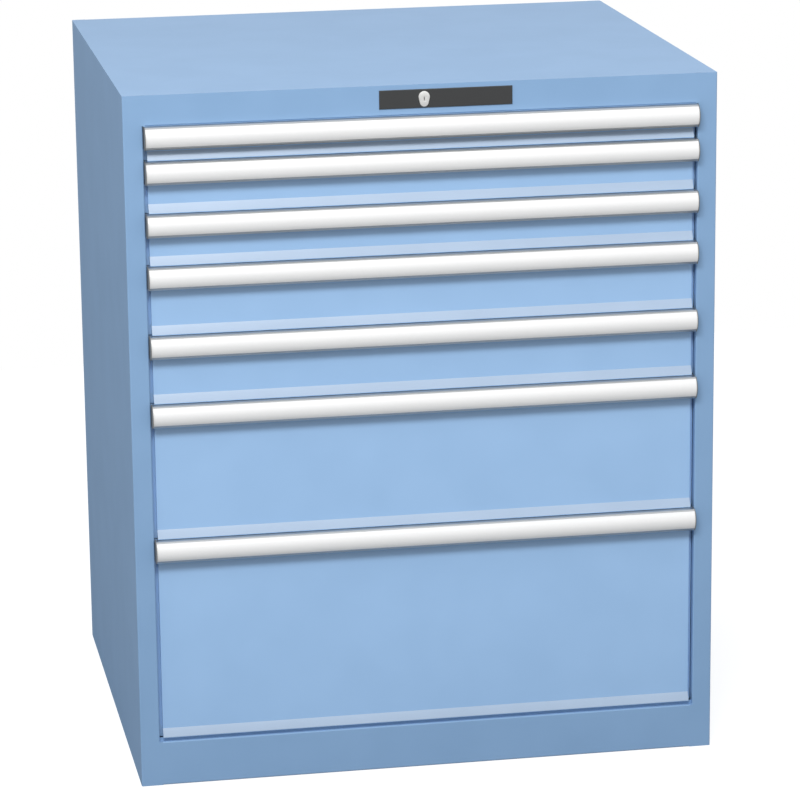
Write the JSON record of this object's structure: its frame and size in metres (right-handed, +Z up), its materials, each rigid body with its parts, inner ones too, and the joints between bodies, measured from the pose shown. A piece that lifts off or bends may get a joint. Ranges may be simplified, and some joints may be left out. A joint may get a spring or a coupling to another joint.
{
  "type": "modular drawer cabinet",
  "caption": "Steel drawer cabinet with full-extension drawers of stepped heights on roller carriages, full-width grip handles and a central lock.",
  "frame": {"origin": "at floor level, below the middle of the whole object's box, handles included", "axes": "+X to the right seen from the front, +Y from the drawer fronts to the rear panel, +Z up"},
  "size_m": [0.852, 0.743, 1.015],
  "materials": {
    "blue_paint": "fine-grained light blue powder coat",
    "tray_steel": "light grey powder coat",
    "handle_aluminium": "satin anodised",
    "label": "clear cover over a white strip",
    "cap_plastic": "moulded, fine grain",
    "dark_plastic": "moulded, fine grain",
    "nickel": "nickel plated zinc",
    "galvanised_steel": "galvanised",
    "carriage_steel": "galvanised bar with plastic rollers"
  },
  "bodies": {
    "cabinet": {"right_side_panel": "blue_paint", "left_side_panel": "blue_paint", "rear_panel": "blue_paint", "top_cover": "blue_paint", "top_rail": "blue_paint", "bottom_rail": "blue_paint", "base_pan": "blue_paint", "front_uprights": "galvanised_steel", "rear_uprights": "galvanised_steel", "runner_rails": "galvanised_steel", "lock_cover": "dark_plastic", "lock_case": "nickel", "bar_guides": "galvanised_steel", "rod_guides": "galvanised_steel"},
    "lock_cylinder": {"lock_cylinder": "nickel"},
    "lock_rod": {"lock_rod": "galvanised_steel"},
    "locking_bar": {"locking_bar": "galvanised_steel", "lock_catches": "galvanised_steel"},
    "drawer_1": {"drawer_1_tray": "tray_steel", "drawer_1_front": "blue_paint", "drawer_1_handle": "handle_aluminium", "drawer_1_label_strip": "label", "drawer_1_end_caps": "cap_plastic"},
    "carriage_1": {"carriage_1": "carriage_steel"},
    "drawer_2": {"drawer_2_tray": "tray_steel", "drawer_2_front": "blue_paint", "drawer_2_handle": "handle_aluminium", "drawer_2_label_strip": "label", "drawer_2_end_caps": "cap_plastic"},
    "carriage_2": {"carriage_2": "carriage_steel"},
    "drawer_3": {"drawer_3_tray": "tray_steel", "drawer_3_front": "blue_paint", "drawer_3_handle": "handle_aluminium", "drawer_3_label_strip": "label", "drawer_3_end_caps": "cap_plastic"},
    "carriage_3": {"carriage_3": "carriage_steel"},
    "drawer_4": {"drawer_4_tray": "tray_steel", "drawer_4_front": "blue_paint", "drawer_4_handle": "handle_aluminium", "drawer_4_label_strip": "label", "drawer_4_end_caps": "cap_plastic"},
    "carriage_4": {"carriage_4": "carriage_steel"},
    "drawer_5": {"drawer_5_tray": "tray_steel", "drawer_5_front": "blue_paint", "drawer_5_handle": "handle_aluminium", "drawer_5_label_strip": "label", "drawer_5_end_caps": "cap_plastic"},
    "carriage_5": {"carriage_5": "carriage_steel"},
    "drawer_6": {"drawer_6_tray": "tray_steel", "drawer_6_front": "blue_paint", "drawer_6_handle": "handle_aluminium", "drawer_6_label_strip": "label", "drawer_6_end_caps": "cap_plastic"},
    "carriage_6": {"carriage_6": "carriage_steel"},
    "drawer_7": {"drawer_7_tray": "tray_steel", "drawer_7_front": "blue_paint", "drawer_7_handle": "handle_aluminium", "drawer_7_label_strip": "label", "drawer_7_end_caps": "cap_plastic"},
    "carriage_7": {"carriage_7": "carriage_steel"}
  },
  "joints": [
    {"name": "lock_turn", "type": "hinge", "parent": "cabinet", "child": "lock_cylinder", "pos_m": [0, -0.3535, 0.995], "axis": [0, 1, 0], "range_deg": [0, 90]},
    {"name": "lock_rod_slide", "type": "slide", "parent": "cabinet", "child": "lock_rod", "axis": [1, 0, 0], "range_m": [0, 0.0099]},
    {"name": "locking_bar_slide", "type": "slide", "parent": "cabinet", "child": "locking_bar", "axis": [0, 0, -1], "range_m": [0, 0.0065]},
    {"name": "drawer_1_slide", "type": "slide", "parent": "cabinet", "child": "drawer_1", "axis": [0, -1, 0], "range_m": [0, 0.612]},
    {"name": "carriage_1_slide", "type": "slide", "parent": "cabinet", "child": "carriage_1", "axis": [0, -1, 0], "range_m": [0, 0.306]},
    {"name": "drawer_2_slide", "type": "slide", "parent": "cabinet", "child": "drawer_2", "axis": [0, -1, 0], "range_m": [0, 0.612]},
    {"name": "carriage_2_slide", "type": "slide", "parent": "cabinet", "child": "carriage_2", "axis": [0, -1, 0], "range_m": [0, 0.306]},
    {"name": "drawer_3_slide", "type": "slide", "parent": "cabinet", "child": "drawer_3", "axis": [0, -1, 0], "range_m": [0, 0.612]},
    {"name": "carriage_3_slide", "type": "slide", "parent": "cabinet", "child": "carriage_3", "axis": [0, -1, 0], "range_m": [0, 0.306]},
    {"name": "drawer_4_slide", "type": "slide", "parent": "cabinet", "child": "drawer_4", "axis": [0, -1, 0], "range_m": [0, 0.612]},
    {"name": "carriage_4_slide", "type": "slide", "parent": "cabinet", "child": "carriage_4", "axis": [0, -1, 0], "range_m": [0, 0.306]},
    {"name": "drawer_5_slide", "type": "slide", "parent": "cabinet", "child": "drawer_5", "axis": [0, -1, 0], "range_m": [0, 0.612]},
    {"name": "carriage_5_slide", "type": "slide", "parent": "cabinet", "child": "carriage_5", "axis": [0, -1, 0], "range_m": [0, 0.306]},
    {"name": "drawer_6_slide", "type": "slide", "parent": "cabinet", "child": "drawer_6", "axis": [0, -1, 0], "range_m": [0, 0.612]},
    {"name": "carriage_6_slide", "type": "slide", "parent": "cabinet", "child": "carriage_6", "axis": [0, -1, 0], "range_m": [0, 0.306]},
    {"name": "drawer_7_slide", "type": "slide", "parent": "cabinet", "child": "drawer_7", "axis": [0, -1, 0], "range_m": [0, 0.612]},
    {"name": "carriage_7_slide", "type": "slide", "parent": "cabinet", "child": "carriage_7", "axis": [0, -1, 0], "range_m": [0, 0.306]}
  ],
  "couplings": [
    {"joint": "lock_turn", "follows": "locking_bar_slide", "rad_per_m": 241.66},
    {"joint": "lock_rod_slide", "follows": "locking_bar_slide", "ratio": 1.523},
    {"joint": "carriage_1_slide", "follows": "drawer_1_slide", "ratio": 0.5},
    {"joint": "carriage_2_slide", "follows": "drawer_2_slide", "ratio": 0.5},
    {"joint": "carriage_3_slide", "follows": "drawer_3_slide", "ratio": 0.5},
    {"joint": "carriage_4_slide", "follows": "drawer_4_slide", "ratio": 0.5},
    {"joint": "carriage_5_slide", "follows": "drawer_5_slide", "ratio": 0.5},
    {"joint": "carriage_6_slide", "follows": "drawer_6_slide", "ratio": 0.5},
    {"joint": "carriage_7_slide", "follows": "drawer_7_slide", "ratio": 0.5}
  ]
}
